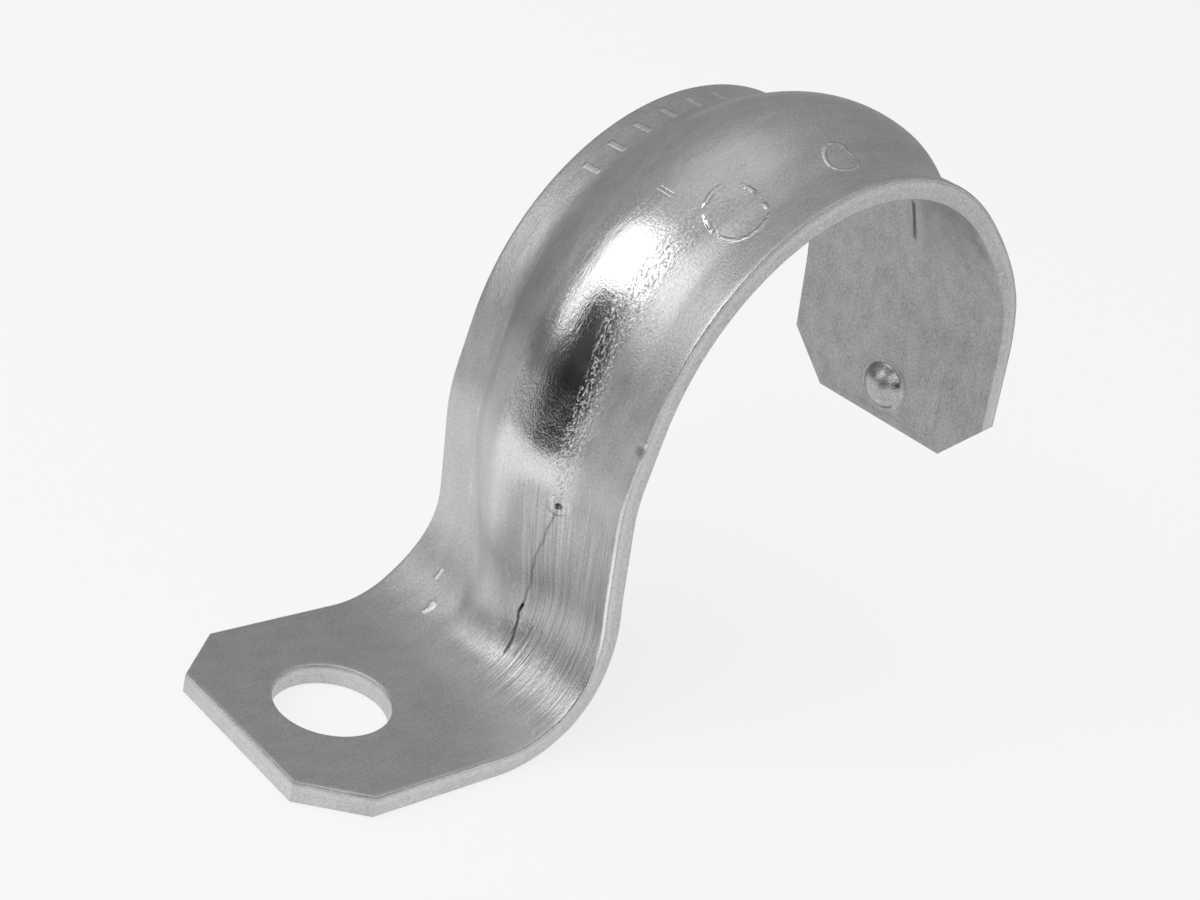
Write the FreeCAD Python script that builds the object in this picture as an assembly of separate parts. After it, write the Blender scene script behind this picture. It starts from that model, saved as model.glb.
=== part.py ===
import FreeCAD, Part
import math
import os

# One-screw strap for 1 1/2 in thin-wall conduit, pressed from one blank of zinc-plated sheet steel.
# Millimetres. z = 0 is the foot's face that lies on the wall. The origin is the middle of the screw
# hole on that face. +x runs from the foot towards the arch and y runs across the strap.

# Conduit and sheet
conduit_d = 44.2            # outside diameter of the tube that is held
tube_play = 0.4             # radial room between tube and arch
sheet_t = 2.0               # sheet thickness
edge_break = 0.25           # bevel that the shears leave along the outer edges

# Lengths along the strap, taken on its outer surface, and the slopes between them
foot_len = 18.5             # flat foot, from its end to the bend
foot_bend_r = 9.3           # bend from foot to riser, on the hollow side
riser_angle = 98.9          # slope of the riser, a little past upright
riser_len = 8.9
knee_r = 16.8               # knee between riser and shoulder, outer surface
shoulder_angle = 82.1       # slope of the short straight shoulder
shoulder_len = 4.6
leg_splay = 12.3            # the free leg leans outwards by this angle
leg_len = 12.8

# Widths
foot_w = 25.4               # foot and free leg
arch_w = 23.4               # arch, drawn narrower by the pressing of the rib
draw_len = 12.0             # length over which the strap narrows, from either tip of the rib
corner_along = 5.1          # cut corners of foot and leg, along the strap
corner_across = 4.5         # and across it

# Screw hole
hole_d = 10.3               # clearance for a 3/8 in screw
hole_from_end = 9.6         # from the foot's end to the hole's axis
hole_entry = 0.35           # bevelled entry left by the punch

# Stiffening rib, pressed outwards along the middle from the foot bend to behind the crown
rib_h = 2.8                 # height above the lands
rib_half = 8.5              # half of its full width
rib_tip_half = 3.8          # half of its width at either tip
rib_delay = 6.0             # plain start of the foot bend, ahead of the first tip
rib_lead = 0.65             # how soon it rises behind the first tip: 1 is evenly, less is sooner
rib_fade = 17.0             # length over which it sinks into the sheet again
rib_end = 6.0               # plain end of the arch, behind the second tip
crest_share = 0.72          # share of the half width in the crest's arc, the rest is the hollow's arc

# Dimple in the free leg, pressed towards the tube
dimple_from_end = 4.0       # from the leg's end to its middle
dimple_r = 2.5              # radius at the leg's inner face
dimple_h = 1.5
punch_r = 2.1               # radius of its hollow at the leg's outer face
punch_depth = 1.7

section_step = 3.0          # largest distance between two cross-sections of a skin
section_lead = 0.5          # distance of the cross-sections next to a change of curve

arch_r = conduit_d / 2 + tube_play + sheet_t
steps = [
    ("line", foot_len, 0.0),
    ("arc", foot_bend_r, riser_angle),
    ("line", riser_len, 0.0),
    ("arc", knee_r, shoulder_angle - riser_angle),
    ("line", shoulder_len, 0.0),
    ("arc", arch_r, leg_splay - 90.0 - shoulder_angle),
    ("line", leg_len, 0.0),
]


def step_length(step):
    kind, size, turn = step
    if kind == "line":
        return size
    return size * math.radians(abs(turn))


starts = [0.0]
for step in steps:
    starts.append(starts[-1] + step_length(step))
bend_start, riser_start, knee_start, shoulder_start, arch_start, leg_start, leg_end = starts[1:]
rib_from = bend_start + rib_delay
rib_full = shoulder_start
rib_to = leg_start - rib_end
rib_sinks = rib_to - rib_fade


def station(s):
    """Place on the outer surface at length s: x, z and the heading in radians."""
    x, z, heading = -hole_from_end, sheet_t, 0.0
    for step in steps:
        kind, size, turn = step
        run = min(s, step_length(step))
        if kind == "line":
            x += run * math.cos(heading)
            z += run * math.sin(heading)
        else:
            side = math.copysign(1.0, turn)
            after = heading + side * run / size
            x += side * size * (math.sin(after) - math.sin(heading))
            z -= side * size * (math.cos(after) - math.cos(heading))
            heading = after
        s -= run
        if s <= 0.0:
            break
    return x, z, heading


def placed(s, y, out):
    """Point at length s, at y across the strap and at height out above the outer surface."""
    x, z, heading = station(s)
    return FreeCAD.Vector(x - out * math.sin(heading), y, z + out * math.cos(heading))


def ease(share):
    """0 for a share below 0, 1 for one above 1, with a smooth start and end between them."""
    share = min(max(share, 0.0), 1.0)
    return share * share * (3.0 - 2.0 * share)


def half_width(s):
    """Half of the strap's width at length s."""
    from_tip = min(s - rib_from, rib_to - s)
    return (foot_w - (foot_w - arch_w) * ease(from_tip / draw_len)) / 2


def rib(s):
    """Half width and height of the rib at length s."""
    front = max(s - rib_from, 0.0) / (rib_full - rib_from)
    share = min(ease(front ** rib_lead), ease((rib_to - s) / rib_fade))
    return rib_tip_half + (rib_half - rib_tip_half) * share, rib_h * share


def line(a, b):
    return Part.LineSegment(a, b).toShape()


def arc(a, middle, b):
    """Arc from a through middle to b, or a straight line if the three are in line."""
    if middle.distanceToLine(a, b - a) < edge_break / 1e5:
        return line(a, b)
    return Part.Arc(a, middle, b).toShape()


def swell(s, level, crest, side):
    """Outline of the rib across the strap at length s, from one side to the other, in three arcs."""
    half, height = rib(s)
    lean = math.atan2(height, half)
    sag = (1.0 - crest) * math.hypot(half, height) * math.tan(lean / 2) / 2

    def p(y, out):
        return placed(s, side * y, level + out)

    join_y, join_out = crest * half, (1.0 - crest) * height
    mid_y = (join_y + half) / 2 - sag * math.sin(lean)
    mid_out = join_out / 2 - sag * math.cos(lean)
    return [
        arc(p(half, 0.0), p(mid_y, mid_out), p(join_y, join_out)),
        arc(p(join_y, join_out), p(0.0, height), p(-join_y, join_out)),
        arc(p(-join_y, join_out), p(-mid_y, mid_out), p(-half, 0.0)),
    ]


def section(s):
    """Closed outline of the sheet across the strap at length s."""
    half = half_width(s)
    flat = half - edge_break
    b, height = rib(s)
    inner_crest = crest_share - sheet_t * 2 * height / (b ** 2 + height ** 2)

    def p(y, out):
        return placed(s, y, out)

    outline = [line(p(flat, 0.0), p(b, 0.0))]
    outline += swell(s, 0.0, crest_share, 1)
    outline += [
        line(p(-b, 0.0), p(-flat, 0.0)),
        line(p(-flat, 0.0), p(-half, -edge_break)),
        line(p(-half, -edge_break), p(-half, -sheet_t)),
        line(p(-half, -sheet_t), p(-b, -sheet_t)),
    ]
    outline += swell(s, -sheet_t, inner_crest, -1)
    outline += [
        line(p(b, -sheet_t), p(half, -sheet_t)),
        line(p(half, -sheet_t), p(half, -edge_break)),
        line(p(half, -edge_break), p(flat, 0.0)),
    ]
    return Part.Wire(outline)


def turned(s, e):
    """Stretch of constant section on an arc, from length s to e."""
    x, z, start = station(s)
    after = station(e)[2]
    side = math.copysign(1.0, after - start)
    radius = (e - s) / abs(after - start)
    axis_at = FreeCAD.Vector(x - side * radius * math.sin(start), 0, z + side * radius * math.cos(start))
    face = Part.Face(section(s))
    return face.revolve(axis_at, FreeCAD.Vector(0, -1, 0), math.degrees(after - start))


def skinned(s, e):
    """Stretch whose section changes, as a skin through cross-sections from length s to e."""
    cuts = [s] + [c for c in starts if s < c < e] + [e]
    places = [s]
    for low, high in zip(cuts, cuts[1:]):
        inner = high - low - 2 * section_lead
        count = math.ceil(inner / section_step)
        places += [low + section_lead + inner * i / count for i in range(count + 1)] + [high]
    return Part.makeLoft([section(place) for place in places], True, False)


def end_plate(joint, tip):
    """Flat end of the strap, from its joint with the bent part to its tip with cut corners."""
    back = math.copysign(corner_along, joint - tip)
    half = foot_w / 2
    inner = half - corner_across
    outline = [
        placed(joint, -half, 0.0),
        placed(tip + back, -half, 0.0),
        placed(tip, -inner, 0.0),
        placed(tip, inner, 0.0),
        placed(tip + back, half, 0.0),
        placed(joint, half, 0.0),
    ]
    face = Part.Face(Part.makePolygon(outline + outline[:1]))
    inward = placed(joint, 0.0, -sheet_t) - placed(joint, 0.0, 0.0)
    plate = face.extrude(inward)
    sheared = []
    for a, b in zip(outline, outline[1:]):
        middle = (a + b) / 2
        sheared += [e for e in plate.Edges if (e.CenterOfMass - middle).Length < edge_break / 10]
    return plate.makeChamfer(edge_break, sheared)


def cap(radius, height, foot, top):
    """Spherical cap on a short disc. It stands at foot and points to top."""
    ball_r = (radius ** 2 + height ** 2) / (2 * height)
    base = sheet_t / 4
    ball = Part.makeSphere(ball_r)
    ball.rotate(FreeCAD.Vector(), FreeCAD.Vector(1, 0, 0), 90)
    ball.translate(FreeCAD.Vector(0, 0, height - ball_r))
    room = Part.makeCylinder(ball_r, 2 * height)
    disc = Part.makeCylinder(radius, base, FreeCAD.Vector(0, 0, -base))
    shape = ball.common(room).fuse(disc)
    shape.Placement = FreeCAD.Placement(foot, FreeCAD.Rotation(FreeCAD.Vector(0, 0, 1), top - foot))
    return shape


shoulder = Part.Face(section(shoulder_start)).extrude(placed(arch_start, 0, 0) - placed(shoulder_start, 0, 0))
strap = end_plate(bend_start, 0.0).fuse([
    turned(bend_start, rib_from),
    skinned(rib_from, rib_full),
    shoulder,
    turned(arch_start, rib_sinks),
    skinned(rib_sinks, rib_to),
    turned(rib_to, leg_start),
    end_plate(leg_start, leg_end),
])

# Screw hole with the punch's bevelled entry on top
strap = strap.cut(Part.makeCylinder(hole_d / 2, 3 * sheet_t, FreeCAD.Vector(0, 0, -sheet_t)))
foot_top = FreeCAD.BoundBox(-hole_d, -hole_d, sheet_t / 2, hole_d, hole_d, 2 * sheet_t)
rims = [e for e in strap.Edges if e.Closed and foot_top.isInside(e.BoundBox)]
strap = strap.makeChamfer(hole_entry, rims)

# Dimple: dome on the leg's inner face, hollow of the punch on its outer face
dimple_at = leg_end - dimple_from_end
inner_face = placed(dimple_at, 0.0, -sheet_t)
outer_face = placed(dimple_at, 0.0, 0.0)
strap = strap.fuse(cap(dimple_r, dimple_h, inner_face, 2 * inner_face - outer_face))
strap = strap.cut(cap(punch_r, punch_depth, outer_face, inner_face))

strap = strap.removeSplitter()
if len(strap.Solids) != 1 or not strap.isValid():
    raise ValueError("the strap is not one valid solid")
os.makedirs("parts", exist_ok=True)
strap.Solids[0].exportStep("parts/strap.step")
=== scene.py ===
import math
import bpy
from mathutils import Euler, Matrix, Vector


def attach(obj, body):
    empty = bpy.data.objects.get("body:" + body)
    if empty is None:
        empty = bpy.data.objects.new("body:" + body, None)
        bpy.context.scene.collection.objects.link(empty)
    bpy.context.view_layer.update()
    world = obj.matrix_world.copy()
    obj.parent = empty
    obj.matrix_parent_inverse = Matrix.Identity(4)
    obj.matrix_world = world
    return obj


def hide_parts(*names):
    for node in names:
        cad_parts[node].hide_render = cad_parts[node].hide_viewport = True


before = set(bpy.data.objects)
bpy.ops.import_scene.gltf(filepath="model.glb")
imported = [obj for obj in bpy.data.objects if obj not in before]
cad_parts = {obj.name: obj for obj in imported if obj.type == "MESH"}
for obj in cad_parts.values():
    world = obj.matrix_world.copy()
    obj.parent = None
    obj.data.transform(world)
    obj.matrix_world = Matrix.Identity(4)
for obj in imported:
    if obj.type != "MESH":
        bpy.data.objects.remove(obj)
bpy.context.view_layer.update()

lens_mm = 55.57
camera_data = bpy.data.cameras.new("camera")
camera_data.sensor_width = 36.0
camera_data.lens = lens_mm
camera_data.shift_x = 0.0507
camera_data.shift_y = 0.0428
camera_data.clip_start = 0.01
camera = bpy.data.objects.new("camera", camera_data)
camera.location = (-0.08810, -0.09940, 0.09184)
camera.rotation_euler = Euler([math.radians(a) for a in (62.531, -12.659, -40.655)])
bpy.context.scene.collection.objects.link(camera)
bpy.context.scene.camera = camera

# Strap. One blank of zinc-plated sheet steel: sheared to its outline, punched, then pressed into
# foot, bend, riser, knee and arch with a rib along the middle, and into the free leg with its dimple.
# Lengths are in millimetres along the flat blank (s), across it (y) and down from its outer face.
import bmesh
from mathutils import Matrix

mm = 0.001
sheet = 2.0
foot_len, foot_width, arch_width = 18.5, 25.4, 23.4
bend_r, riser_angle, riser_len = 9.3, 98.9, 8.9
knee_r, shoulder_angle, shoulder_len = 16.8, 82.1, 4.6
arch_r, leg_splay, leg_len = 24.5, 12.3, 12.8
corner_along, corner_across = 5.1, 4.5
hole_r, hole_at = 5.15, 9.6
rib_height, rib_half, rib_tip_half = 2.8, 8.5, 3.8
rib_delay, rib_lead, rib_fade, rib_end, draw_len = 6.0, 0.65, 17.0, 6.0, 12.0
crest_share = 0.72
dimple_from_end, dimple_r, dimple_h, punch_r, punch_depth = 4.0, 2.5, 1.5, 2.1, 1.7
dimple_field = 3.15     # radius within which the punch moves the sheet
dimple_rounding = 0.18  # how softly the dome leaves the sheet

runs = [
    (foot_len, 0.0), (bend_r, riser_angle), (riser_len, 0.0), (knee_r, shoulder_angle - riser_angle),
    (shoulder_len, 0.0), (arch_r, leg_splay - 90.0 - shoulder_angle), (leg_len, 0.0),
]
marks = [0.0]
for size, turn in runs:
    marks.append(marks[-1] + (size * math.radians(abs(turn)) if turn else size))
bent_from, bent_to, leg_end = marks[1], marks[6], marks[7]
rib_from, rib_full = bent_from + rib_delay, marks[4]
rib_to = bent_to - rib_end
dimple_at = leg_end - dimple_from_end


def along(s):
    """Where length s of the blank's outer face ends up: x, z and heading."""
    x, z, heading = -hole_at, sheet, 0.0
    for (size, turn), low, high in zip(runs, marks, marks[1:]):
        run = min(s, high) - low
        if turn:
            side = math.copysign(1.0, turn)
            after = heading + side * run / size
            x += side * size * (math.sin(after) - math.sin(heading))
            z -= side * size * (math.cos(after) - math.cos(heading))
            heading = after
        else:
            x += run * math.cos(heading)
            z += run * math.sin(heading)
        if s <= high:
            break
    return x, z, heading


def ease(share):
    share = min(max(share, 0.0), 1.0)
    return share * share * (3.0 - 2.0 * share)


def rise_of(y, half, height, depth):
    """Height of the rib over its land, at y from its middle and at this depth in the sheet."""
    if y >= half:
        return 0.0
    both_r = math.hypot(half, height) ** 2 / (2 * height)
    crest_r = crest_share * both_r - depth
    hollow_r = both_r - crest_r
    if y * both_r < half * crest_r:
        return height - crest_r + math.sqrt(crest_r ** 2 - y ** 2)
    return hollow_r - math.sqrt(hollow_r ** 2 - (half - y) ** 2)


def pressed(s, y, depth):
    """Where the press leaves the point of the flat blank at s and y, depth under the outer face."""
    from_tip = min(s - rib_from, rib_to - s)
    y *= 1.0 - (1.0 - arch_width / foot_width) * ease(from_tip / draw_len)
    front = max(s - rib_from, 0.0) / (rib_full - rib_from)
    share = min(ease(front ** rib_lead), ease((rib_to - s) / rib_fade))
    half = rib_tip_half + (rib_half - rib_tip_half) * share
    out = -depth
    if share > 1e-4:
        out += rise_of(abs(y), half, rib_height * share, depth)
    from_dimple = math.hypot(s - dimple_at, y)
    if from_dimple < dimple_field:
        soft = dimple_rounding
        for radius, height, place in (
            (dimple_r, dimple_h, depth / sheet),
            (punch_r, punch_depth, 1 - depth / sheet),
        ):
            ball = (radius ** 2 + height ** 2) / (2 * height)
            dome = math.sqrt(max(ball ** 2 - from_dimple ** 2, 0.0)) - (ball - height)
            rounded = dome + math.sqrt(dome * dome + soft * soft) - soft * ease(4.0 - from_dimple)
            out -= max(place, 0.0) * rounded / 2
    x, z, heading = along(s)
    return Vector((x - out * math.sin(heading), y, z + out * math.cos(heading)))


# The bent stretch is a grid whose outermost rows lie close to the cut edges
grid_along, grid_across = 206, 68
last_row = grid_across // 2
even_half = 11.8
half = foot_width / 2
strap_bm = bmesh.new()
bmesh.ops.create_grid(strap_bm, x_segments=grid_along, y_segments=grid_across, size=0.5)
for v in strap_bm.verts:
    v.co.x = bent_from + (v.co.x + 0.5) * (bent_to - bent_from)
    row = round(v.co.y * grid_across)
    v.co.y = row * even_half / (last_row - 1) if abs(row) < last_row else math.copysign(half, row)

# Foot and free leg are filled between the grid, their outline and the hole or the dimple's rings
dimple_rings = 19
for joint, tip, ring_at, ring_r, ring_count in (
    (bent_from, 0.0, hole_at, hole_r, 96),
    (bent_to, leg_end, dimple_at, dimple_field, 72),
):
    side = math.copysign(1.0, tip - joint)
    joint_edges = [e for e in strap_bm.edges
                   if e.is_boundary and all(abs(v.co.x - joint) < 1e-4 for v in e.verts)]
    ends = sorted({v for e in joint_edges for v in e.verts}, key=lambda v: v.co.y)
    outline = [ends[0]] + [strap_bm.verts.new(p) for p in (
        (tip - side * corner_along, -half, 0), (tip, corner_across - half, 0),
        (tip, half - corner_across, 0), (tip - side * corner_along, half, 0),
    )] + [ends[-1]]
    outline_edges = [strap_bm.edges.new(pair) for pair in zip(outline, outline[1:])]
    ring = bmesh.ops.create_circle(strap_bm, segments=ring_count, radius=ring_r,
                                   matrix=Matrix.Translation((ring_at, 0, 0)))
    ring_edges = list({e for v in ring["verts"] for e in v.link_edges})
    bmesh.ops.triangle_fill(strap_bm, edges=joint_edges + outline_edges + ring_edges, use_beauty=True)
    if tip:
        loop = ring_edges
        for ring_number in range(dimple_rings):
            shrink = 1 - 1 / (dimple_rings + 1 - ring_number)
            grown = bmesh.ops.extrude_edge_only(strap_bm, edges=loop)["geom"]
            inner = [g for g in grown if isinstance(g, bmesh.types.BMVert)]
            bmesh.ops.scale(strap_bm, vec=(shrink, shrink, 1), verts=inner,
                            space=Matrix.Translation((-ring_at, 0, 0)))
            loop = [g for g in grown
                    if isinstance(g, bmesh.types.BMEdge) and all(v in inner for v in g.verts)]
        bmesh.ops.contextual_create(strap_bm, geom=loop)

# The shears and the punch: a support line along every cut edge, the thickness, a rolled lip on top
bmesh.ops.recalc_face_normals(strap_bm, faces=strap_bm.faces)
bmesh.ops.inset_region(strap_bm, faces=strap_bm.faces, thickness=0.55, use_boundary=True,
                       use_even_offset=True)
thick = bmesh.ops.extrude_face_region(strap_bm, geom=strap_bm.faces)["geom"]
lower_face = [g for g in thick if isinstance(g, bmesh.types.BMVert)]
bmesh.ops.translate(strap_bm, vec=(0, 0, -sheet), verts=lower_face)
bmesh.ops.recalc_face_normals(strap_bm, faces=strap_bm.faces)
for level, roll, steps in ((0.0, 0.28, 3), (-sheet, 0.10, 2)):
    rim = [e for e in strap_bm.edges if all(abs(v.co.z - level) < 1e-4 for v in e.verts)
           and any(abs(f.normal.z) < 0.5 for f in e.link_faces)]
    bmesh.ops.bevel(strap_bm, geom=rim, offset=roll, segments=steps, profile=0.5, affect="EDGES",
                    material=-1)

# The press. Each point keeps its place on the blank, and how far its face was turned down, for the finish.
blank = strap_bm.verts.layers.float_vector.new("blank")
sheared = strap_bm.verts.layers.float.new("sheared")
strap_bm.normal_update()
for v in strap_bm.verts:
    v[blank] = v.co.copy()
    v[sheared] = 1.0 - abs(v.normal.z)
    v.co = pressed(v.co.x, v.co.y, -v.co.z) * mm
bmesh.ops.recalc_face_normals(strap_bm, faces=strap_bm.faces)
for f in strap_bm.faces:
    f.smooth = True
strap_mesh = bpy.data.meshes.new("pressed_strap")
strap_bm.to_mesh(strap_mesh)
strap_bm.free()
strap = bpy.data.objects.new("pressed_strap", strap_mesh)
bpy.context.scene.collection.objects.link(strap)
even = strap.modifiers.new("even_shading", "WEIGHTED_NORMAL")
even.weight = 50


class Shade:
    """One output of a shader node. Arithmetic on it adds Math nodes to the same tree."""

    def __init__(self, tree, socket=None):
        self.tree, self.socket = tree, socket

    def node(self, kind, settings, values, output=0):
        """Adds any node: first its settings, then the values or links of its sockets."""
        made = self.tree.nodes.new("ShaderNode" + kind)
        for name, value in settings.items():
            if name == "stops":
                stops = made.color_ramp.elements
                stops.remove(stops[1])
                for number, (place, grey) in enumerate(value):
                    stop = stops[0] if number == 0 else stops.new(place)
                    stop.position = place
                    stop.color = (grey, grey, grey, 1)
            else:
                setattr(made, name, value)
        for name, value in values.items():
            if isinstance(value, Shade):
                self.tree.links.new(value.socket, made.inputs[name])
            else:
                made.inputs[name].default_value = value
        return Shade(self.tree, made.outputs[output])

    def math(self, operation, *values):
        return self.node("Math", {"operation": operation}, dict(enumerate(values)))

    def __add__(self, other):
        return self.math("ADD", self, other)

    def __radd__(self, other):
        return self.math("ADD", other, self)

    def __sub__(self, other):
        return self.math("SUBTRACT", self, other)

    def __rsub__(self, other):
        return self.math("SUBTRACT", other, self)

    def __mul__(self, other):
        return self.math("MULTIPLY", self, other)

    def __rmul__(self, other):
        return self.math("MULTIPLY", other, self)

    def __abs__(self):
        return self.math("ABSOLUTE", self)

    def fade(self, start, end):
        """Smoothly from 0 at start to 1 at end."""
        return self.node("MapRange", {"interpolation_type": "SMOOTHSTEP"}, {0: self, 1: start, 2: end})

    def within(self, low, high, soft):
        """1 between low and high, 0 outside."""
        return self.fade(low - soft, low) * self.fade(high + soft, high)

    def texture(self, lengths, detail=2.0, turbulence=0.5):
        """Noise on a vector, with grains of these three lengths, between 0 and 1."""
        scaled = self.node("VectorMath", {"operation": "DIVIDE"}, {0: self, 1: lengths})
        sockets = {"Vector": scaled, "Scale": 1.0, "Detail": detail, "Roughness": turbulence}
        return self.node("TexNoise", {}, sockets)

    def distance(self, spot):
        """Distance of a vector from this spot."""
        return self.node("VectorMath", {"operation": "DISTANCE"}, {0: self, 1: spot}, "Value")


# Zinc plating of the strap. Its patterns are laid out on the flat blank, in the same lengths as above,
# so they run along the strap round every bend. It is bare metal all over, rubbed smooth in some places.
zinc = bpy.data.materials.new("zinc_steel")
zinc.use_nodes = True
shader = zinc.node_tree.nodes["Principled BSDF"]
tree = Shade(zinc.node_tree)
place = tree.node("Attribute", {"attribute_name": "blank"}, {}, "Vector")
length, across, depth = [place.node("SeparateXYZ", {}, {0: place}, axis) for axis in "XYZ"]
turned_down = tree.node("Attribute", {"attribute_name": "sheared"}, {}, "Fac")
cut = turned_down.fade(0.35, 0.9)
# The rolled lip on top of the cut edges. It is rubbed smoother, and its colour is painted brighter below,
# a painted highlight on the lip.
rolled = turned_down.within(0.15, 0.75, 0.12) * depth.fade(-0.5, -0.2)
top = depth.fade(-0.6, -0.1) * (1 - cut)

# Grain of the zinc, cloudy patches, the drawing marks that the die leaves lengthwise, and where the
# sheet is rubbed smoother: the rib's crest, the near side of bend and riser, and the dimple. These
# places and the drawing marks are also painted brighter in colour, which is painted highlight.
fine = place.texture((0.26, 0.18, 0.18), 3.0, 0.7)
cloudy = place.texture((2.6, 1.5, 1.5), 3.0, 0.55)
streaks = place.texture((14.0, 0.26, 0.4), 3.0, 0.65)
wiry = place.texture((11.0, 0.12, 0.2), 1.0, 0.5)
drawn_marks_and_sheen = top * length.within(25.5, 42.0, 4.0) * across.within(-11.5, -3.0, 1.0)
crest = top * length.within(46.0, 76.0, 6.0) * across.within(-5.6, 0.6, 2.2)
bend = top * length.within(23.5, 40.0, 4.0) * across.within(-13.0, 1.2, 2.0)
dimple_shine = place.distance((dimple_at, 0.0, -sheet)).fade(2.9, 2.4)
# The whole inner face. Its colour is painted darker below, a painted shade.
inside = depth.fade(-1.5, -1.9) * (1 - cut)

# The scored line beside the crest, with its pit, then a row of torn specks up to the round pad. The band
# of specks beside the line is painted brighter, partly torn zinc and partly a painted highlight.
score_from, score_run, score_reach = 25.8, 44.0, -8.0
score_path = (
    (0.0, 0.44), (0.027, 0.43), (0.10, 0.35), (0.25, 0.49), (0.33, 0.625), (0.385, 0.73),
    (0.44, 0.75), (0.68, 0.74), (0.73, 0.66), (1.0, 0.65),
)
score_share = (length - score_from) * (1 / score_run)
score_at = length.node("ValToRGB", {"stops": score_path}, {0: score_share}) * score_reach
wander = (place.texture((2.0, 1.0, 1.0), 2.0, 0.6) - 0.5) * 0.5
beside = abs(across - score_at + wander)
specks = place.texture((0.5, 0.22, 0.22), 2.0, 0.6)
score = top * beside.fade(0.22, 0.03) * (
    length.within(26.4, 31.0, 0.5) * 1.3 + length.within(31.0, 43.0, 1.5) * 0.6
    + (length.within(45.0, 57.0, 1.5) + length.within(58.5, 69.6, 1.0)) * specks.fade(0.50, 0.60) * 0.8)
torn_specks_and_sheen = top * length.within(45.0, 69.0, 2.0) * beside.fade(1.3, 0.4) * specks.fade(0.52, 0.64)
pit_off = place.distance((43.3, -5.9, 0.0))
pit = pit_off.fade(0.36, 0.16)
lip = pit_off.within(0.45, 0.75, 0.25)

# Two plain round marks with raised rims, short raised strokes in a row on the far land, and one short
# double scratch
def round_mark(spot, radius):
    """Raised rim of a round mark, worn through in places, round a rough middle."""
    off = place.distance(spot)
    rim = abs(off - radius).fade(0.30, 0.05) * cloudy.fade(0.38, 0.56)
    return rim + off.fade(radius, radius - 0.4) * specks * 0.5


rims = round_mark((72.3, -7.15, 0.0), 2.5) + round_mark((84.0, -7.6, 0.0), 1.55)
stroke_pitch = 3.1
within_pitch = length.math("FRACT", length * (1 / stroke_pitch))
stroke = abs(within_pitch - 0.5).fade(0.12, 0.05)
strokes = top * length.within(68.2, 88.0, 0.2) * across.within(8.9, 10.7, 0.25) * stroke
double = (length.within(69.62, 69.70, 0.07) + length.within(70.0, 70.08, 0.07)) \
    * across.within(-2.3, -0.7, 0.1)

# Nicks, a few to the centimetre along the strap, then single marks: a dent at the near edge, strikes and
# gouges in the bend, a slit in the inner face and a long crease beside the rib
nicks = place.texture((3.5, 0.16, 0.3), 1.0, 0.4).fade(0.75, 0.80) * top
dent = top * place.distance((51.5, -12.3, 0.0)).fade(0.8, 0.2)
strikes = top * (
    length.within(24.4, 25.6, 0.3) * abs(across - 6.3 + (cloudy - 0.5) * 2.0).fade(0.34, 0.05)
    + length.within(27.5, 28.3, 0.3) * abs(across - 8.1).fade(0.34, 0.05))
gouges = top * length.within(26.8, 29.6, 0.6) * across.within(-6.4, -3.2, 0.4) * wiry.fade(0.56, 0.66)
slit = inside * length.within(107.0, 110.5, 0.8) * abs(across + 1.6).fade(0.35, 0.08)
crease = top * length.within(34.0, 64.0, 4.0) * abs(across - 7.9).fade(0.4, 0.05) * cloudy.fade(0.35, 0.6)

# Sheared walls: smooth where the blade went in, torn below
torn = cut * depth.fade(-1.0, -1.3)
wall_lines = place.texture((0.35, 0.35, 2.4), 3.0, 0.6)

# Height of all this in millimetres, then its colour and its roughness
height = (
    (fine - 0.5) * (0.042 + cut * 0.02 - crest * 0.018) + (cloudy - 0.5) * 0.05
    + (streaks - 0.5) * (0.008 + drawn_marks_and_sheen * 0.045) + (wiry - 0.5) * drawn_marks_and_sheen * 0.030
    - score * 0.02 - pit * 0.20 + lip * 0.05 + rims * top * 0.12 + strokes * 0.07
    + torn_specks_and_sheen * 0.05 + nicks * 0.02 - double * top * 0.04 - dent * 0.08 + strikes * 0.06
    - gouges * 0.03 - slit * 0.2 + (wall_lines - 0.5) * (cut * 0.03 + torn * 0.06)
)
bump = height.node("Bump", {}, {"Strength": 1.0, "Distance": mm, "Height": height}, "Normal")
zinc.node_tree.links.new(bump.socket, shader.inputs["Normal"])
tone = (
    # Painted highlight: the crest, the near side of bend and riser, the drawing marks, the rolled lip and
    # the dimple are painted brighter
    0.60 + (crest + bend * 0.6 + drawn_marks_and_sheen * 0.4) * 0.14 + rolled * 0.16 + dimple_shine * 0.06 + strokes * 0.12
    + (cloudy - 0.5) * (0.16 + inside * 0.10) + (fine - 0.5) * 0.5 + (specks - 0.5) * 0.16
    + (streaks - 0.5) * (0.10 + drawn_marks_and_sheen * 0.9) + crease * 0.10
    # Painted highlight, in part: the band of torn specks beside the scored line is painted brighter
    + torn_specks_and_sheen * 0.2 + nicks * 0.15 + rims * top * 0.14 - score * 0.42 - gouges * 0.35 - pit * 0.4
    # Painted shade: the whole inner face is painted darker
    - dent * 0.2 + strikes * 0.4 - slit * 0.25 - inside * 0.22 + cut * 0.05
    # Painted shadow: a dark line on the sheared walls just under the rolled lip; lower down, a darker line
    # where the torn part begins
    - cut * depth.within(-0.36, -0.2, 0.06) * 0.14 - cut * depth.within(-1.1, -1.0, 0.08) * 0.05
)
tint = tone.node("CombineColor", {}, {"Red": tone, "Green": tone, "Blue": tone * 1.012})
zinc.node_tree.links.new(tint.socket, shader.inputs["Base Color"])
rough = (
    0.40 + (cloudy - 0.5) * 0.16 + (streaks - 0.5) * 0.12 - crest * 0.28 - bend * 0.14 - drawn_marks_and_sheen * 0.04
    - dimple_shine * 0.22 - rolled * 0.10 + cut * 0.04 + torn * 0.10
)
zinc.node_tree.links.new(rough.socket, shader.inputs["Roughness"])
shader.inputs["Metallic"].default_value = 1.0
strap_mesh.materials.append(zinc)
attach(strap, "root")
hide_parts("strap")

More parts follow.
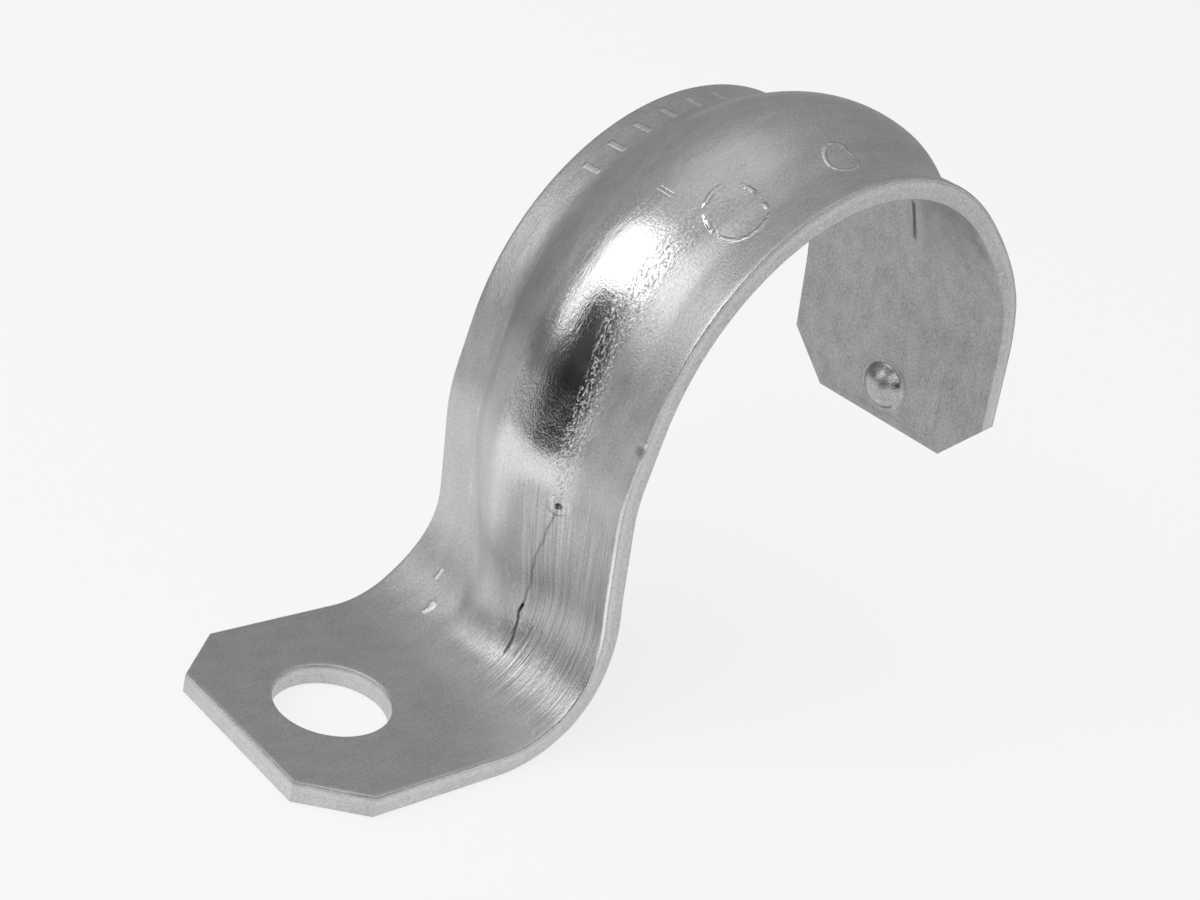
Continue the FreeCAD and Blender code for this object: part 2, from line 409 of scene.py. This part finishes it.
# Floor: a plain pale board that runs to the horizon. Its own white shows to the camera and in metal,
# and the rest is lit, so it keeps the strap's shadow. It lies just under the strap.
floor_reach = 40.0
floor_white = 0.80
floor_mesh = bpy.data.meshes.new("floor")
floor_bm = bmesh.new()
bmesh.ops.create_grid(floor_bm, x_segments=1, y_segments=1, size=floor_reach)
floor_bm.to_mesh(floor_mesh)
floor_bm.free()
floor = bpy.data.objects.new("floor", floor_mesh)
floor.location.z = -0.0002
bpy.context.scene.collection.objects.link(floor)
pale = bpy.data.materials.new("pale_floor")
pale.use_nodes = True
pale_shader = pale.node_tree.nodes["Principled BSDF"]
pale_shader.inputs["Base Color"].default_value = (0.95, 0.95, 0.95, 1)
pale_shader.inputs["Roughness"].default_value = 0.9
floor_tree = Shade(pale.node_tree)
to_camera, to_metal, to_glass = [floor_tree.node("LightPath", {}, {}, "Is %s Ray" % ray)
                                 for ray in ("Camera", "Glossy", "Transmission")]
seen = to_camera.math("MAXIMUM", to_camera, to_metal)
seen = seen.math("MAXIMUM", seen, to_glass)
white = floor_tree.node("Emission", {}, {"Color": (1, 1, 1, 1), "Strength": 1.0})
lit = Shade(pale.node_tree, pale_shader.outputs[0])
mixed = seen.node("MixShader", {}, {0: seen * floor_white, 1: lit, 2: white})
pale.node_tree.links.new(mixed.socket, pale.node_tree.nodes["Material Output"].inputs["Surface"])
floor_mesh.materials.append(pale)

# Studio: plain grey walls with a paler ceiling, and one wide soft panel beyond the foot's end, turned
# to the strap, which gives the highlights.
world = bpy.data.worlds.new("studio")
world.use_nodes = True
world_tree = Shade(world.node_tree)
heading = world_tree.node("TexCoord", {}, {}, "Generated")
upward = heading.node("SeparateXYZ", {}, {0: heading}, "Z")
walls, ceiling = 0.345, 0.24
level = walls + upward.fade(0.72, 0.97) * ceiling
sky = level.node("CombineColor", {}, {"Red": level, "Green": level, "Blue": level})
world.node_tree.links.new(sky.socket, world.node_tree.nodes["Background"].inputs["Color"])
bpy.context.scene.world = world

lamp_data = bpy.data.lights.new("softbox", "AREA")
lamp_data.shape = "RECTANGLE"
lamp_data.size = 1.30
lamp_data.size_y = 1.0
panel_brightness = 2.1
lamp_data.energy = panel_brightness * math.pi * lamp_data.size * lamp_data.size_y
lamp = bpy.data.objects.new("softbox", lamp_data)
panel_turn, panel_off, panel_rise = math.radians(180), 0.9, 0.56
lamp.location = Vector((math.cos(panel_turn), math.sin(panel_turn), panel_rise)) * panel_off
lamp.rotation_euler = (Vector((0.03, 0, 0.03)) - lamp.location).to_track_quat("-Z", "Y").to_euler()
bpy.context.scene.collection.objects.link(lamp)

# Dark cards of the studio, seen only in the metal, where they give the dark reflections: one upright
# beyond the foot's end, one flat on the floor before it, and one upright at the near side.
black = bpy.data.materials.new("black_card")
black.use_nodes = True
black.node_tree.nodes["Principled BSDF"].inputs["Base Color"].default_value = (0.02, 0.02, 0.02, 1)
black.node_tree.nodes["Principled BSDF"].inputs["Roughness"].default_value = 0.9
for name, spot, upright, facing, width, tall in (
    ("card_left", (-0.078, -0.010, 0.049), 90.0, 0.0, 0.102, 0.098),
    ("card_foot", (-0.071, -0.006, 0.001), 0.0, 0.0, 0.080, 0.014),
    ("card_front", (-0.030, -0.120, 0.035), 90.0, 50.0, 0.120, 0.070),
):
    card_mesh = bpy.data.meshes.new(name)
    card_bm = bmesh.new()
    bmesh.ops.create_grid(card_bm, x_segments=1, y_segments=1, size=0.5)
    card_bm.to_mesh(card_mesh)
    card_bm.free()
    card_mesh.materials.append(black)
    card = bpy.data.objects.new(name, card_mesh)
    card.scale = (tall, width, 1.0)
    card.location = spot
    card.rotation_euler = (0.0, math.radians(upright), math.radians(facing))
    card.visible_camera = False
    card.visible_shadow = False
    card.visible_diffuse = False
    bpy.context.scene.collection.objects.link(card)

# Grey surround of the studio, a low round band that is open at the near side. It too is seen only in
# the metal, between the floor and the walls.
surround_mesh = bpy.data.meshes.new("surround")
surround_bm = bmesh.new()
bmesh.ops.create_cone(surround_bm, cap_ends=False, segments=72, radius1=0.115, radius2=0.115, depth=0.048,
                      matrix=Matrix.Translation((0.025, 0.0, 0.024)))
gap = [f for f in surround_bm.faces if f.calc_center_median().y < -0.035]
bmesh.ops.delete(surround_bm, geom=gap, context="FACES")
surround_bm.to_mesh(surround_mesh)
surround_bm.free()
grey = bpy.data.materials.new("grey_surround")
grey.use_nodes = True
grey.node_tree.nodes["Principled BSDF"].inputs["Base Color"].default_value = (0.38, 0.38, 0.38, 1)
grey.node_tree.nodes["Principled BSDF"].inputs["Roughness"].default_value = 0.9
surround_mesh.materials.append(grey)
surround = bpy.data.objects.new("surround", surround_mesh)
surround.visible_camera = False
surround.visible_shadow = False
surround.visible_diffuse = False
bpy.context.scene.collection.objects.link(surround)

bpy.context.scene.view_settings.view_transform = "Standard"
